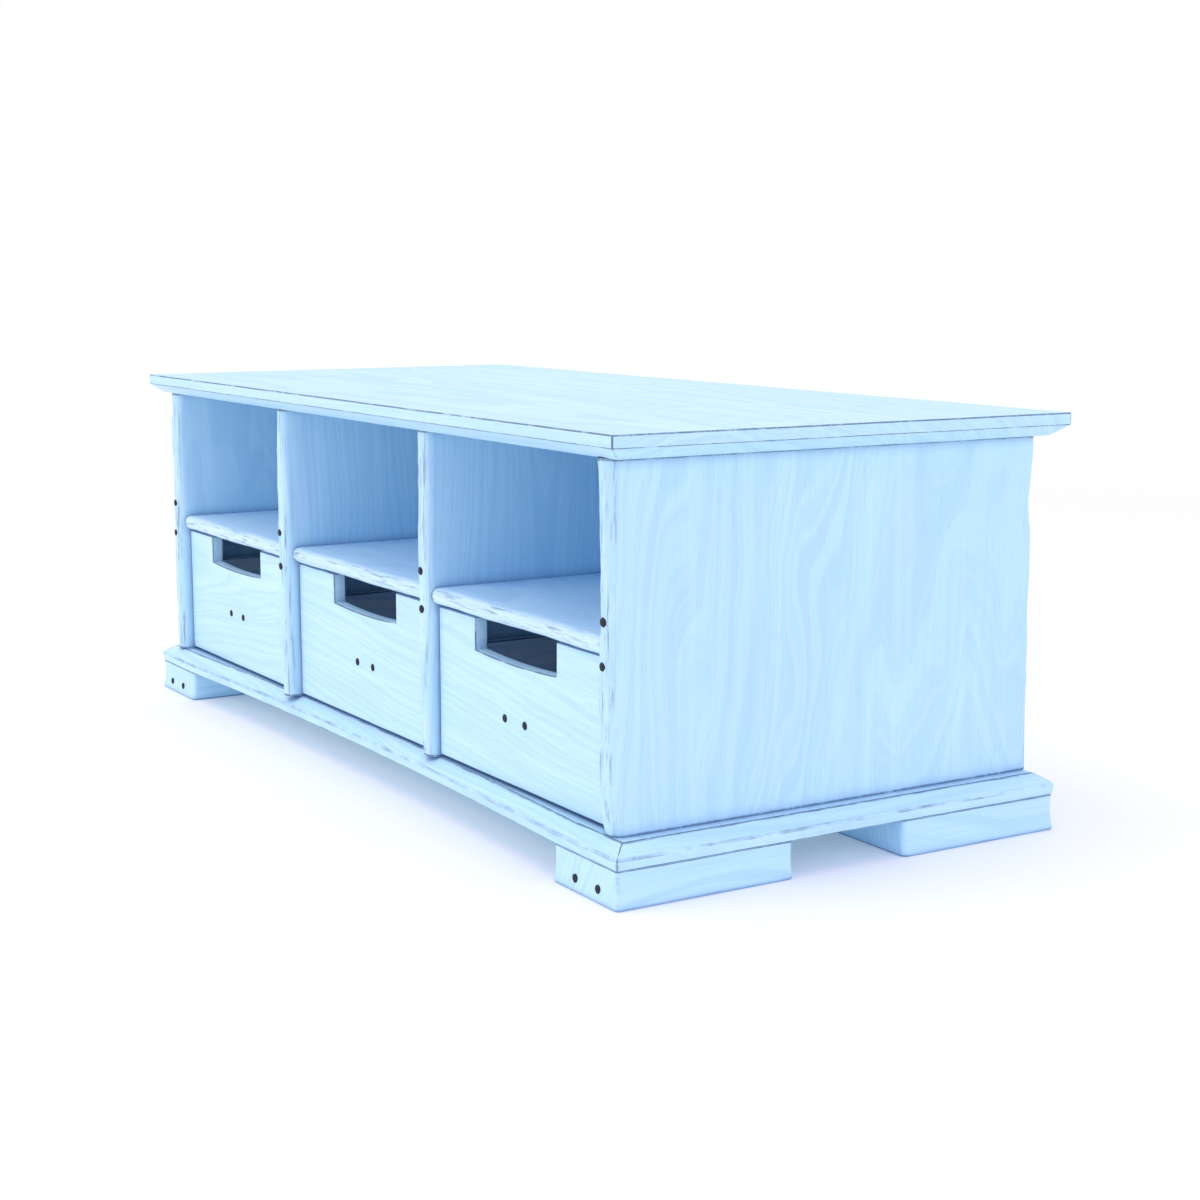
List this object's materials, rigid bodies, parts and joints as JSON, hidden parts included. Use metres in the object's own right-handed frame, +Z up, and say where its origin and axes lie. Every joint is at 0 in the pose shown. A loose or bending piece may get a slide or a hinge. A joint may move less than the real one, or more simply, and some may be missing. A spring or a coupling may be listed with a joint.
{
  "type": "low media console",
  "caption": "Long low wooden console: overhanging top, four waney-edged uprights, open bays above drawers with notched hand pulls, on a moulded plinth with block feet.",
  "frame": {"origin": "centre of the footprint, on the floor", "axes": "+Z up, +X to the right along the length, the drawers open towards -Y"},
  "size_m": [1.201, 0.55, 0.436],
  "materials": {
    "painted_top": "pale blue paint, satin",
    "painted_slab": "pale blue paint, satin, waney edges rubbed",
    "painted_plinth": "pale blue paint, satin",
    "painted_shelf": "pale blue paint, satin",
    "painted_drawer": "pale blue paint, satin",
    "bare_wood": "unpainted hardwood",
    "dark_peg": "dark stained hardwood",
    "screw_steel": "plain steel"
  },
  "bodies": {
    "carcass": {"top_panel": "painted_top", "left_end_slab": "painted_slab", "left_divider_slab": "painted_slab", "right_divider_slab": "painted_slab", "right_end_slab": "painted_slab", "bottom_board": "painted_plinth", "front_base_rail": "painted_plinth", "back_base_rail": "painted_plinth", "left_base_rail": "painted_plinth", "right_base_rail": "painted_plinth", "front_left_foot": "painted_plinth", "front_right_foot": "painted_plinth", "back_left_foot": "painted_plinth", "back_right_foot": "painted_plinth", "left_shelf": "painted_shelf", "left_back_panel": "painted_shelf", "left_runners": "bare_wood", "left_stops": "bare_wood", "middle_shelf": "painted_shelf", "middle_back_panel": "painted_shelf", "middle_runners": "bare_wood", "middle_stops": "bare_wood", "right_shelf": "painted_shelf", "right_back_panel": "painted_shelf", "right_runners": "bare_wood", "right_stops": "bare_wood", "slab_edge_pegs": "dark_peg", "foot_pegs": "dark_peg", "top_dowels": "bare_wood", "base_dowels": "bare_wood", "mitre_splines": "bare_wood", "foot_screws": "screw_steel"},
    "left_drawer": {"left_drawer_front": "painted_drawer", "left_drawer_left_side": "painted_drawer", "left_drawer_right_side": "painted_drawer", "left_drawer_back": "painted_drawer", "left_drawer_bottom": "painted_drawer", "left_drawer_pegs": "dark_peg"},
    "middle_drawer": {"middle_drawer_front": "painted_drawer", "middle_drawer_left_side": "painted_drawer", "middle_drawer_right_side": "painted_drawer", "middle_drawer_back": "painted_drawer", "middle_drawer_bottom": "painted_drawer", "middle_drawer_pegs": "dark_peg"},
    "right_drawer": {"right_drawer_front": "painted_drawer", "right_drawer_left_side": "painted_drawer", "right_drawer_right_side": "painted_drawer", "right_drawer_back": "painted_drawer", "right_drawer_bottom": "painted_drawer", "right_drawer_pegs": "dark_peg"}
  },
  "joints": [
    {"name": "left_drawer_slide", "type": "slide", "parent": "carcass", "child": "left_drawer", "axis": [0, -1, 0], "range_m": [0, 0.3]},
    {"name": "middle_drawer_slide", "type": "slide", "parent": "carcass", "child": "middle_drawer", "axis": [0, -1, 0], "range_m": [0, 0.3]},
    {"name": "right_drawer_slide", "type": "slide", "parent": "carcass", "child": "right_drawer", "axis": [0, -1, 0], "range_m": [0, 0.3]}
  ]
}
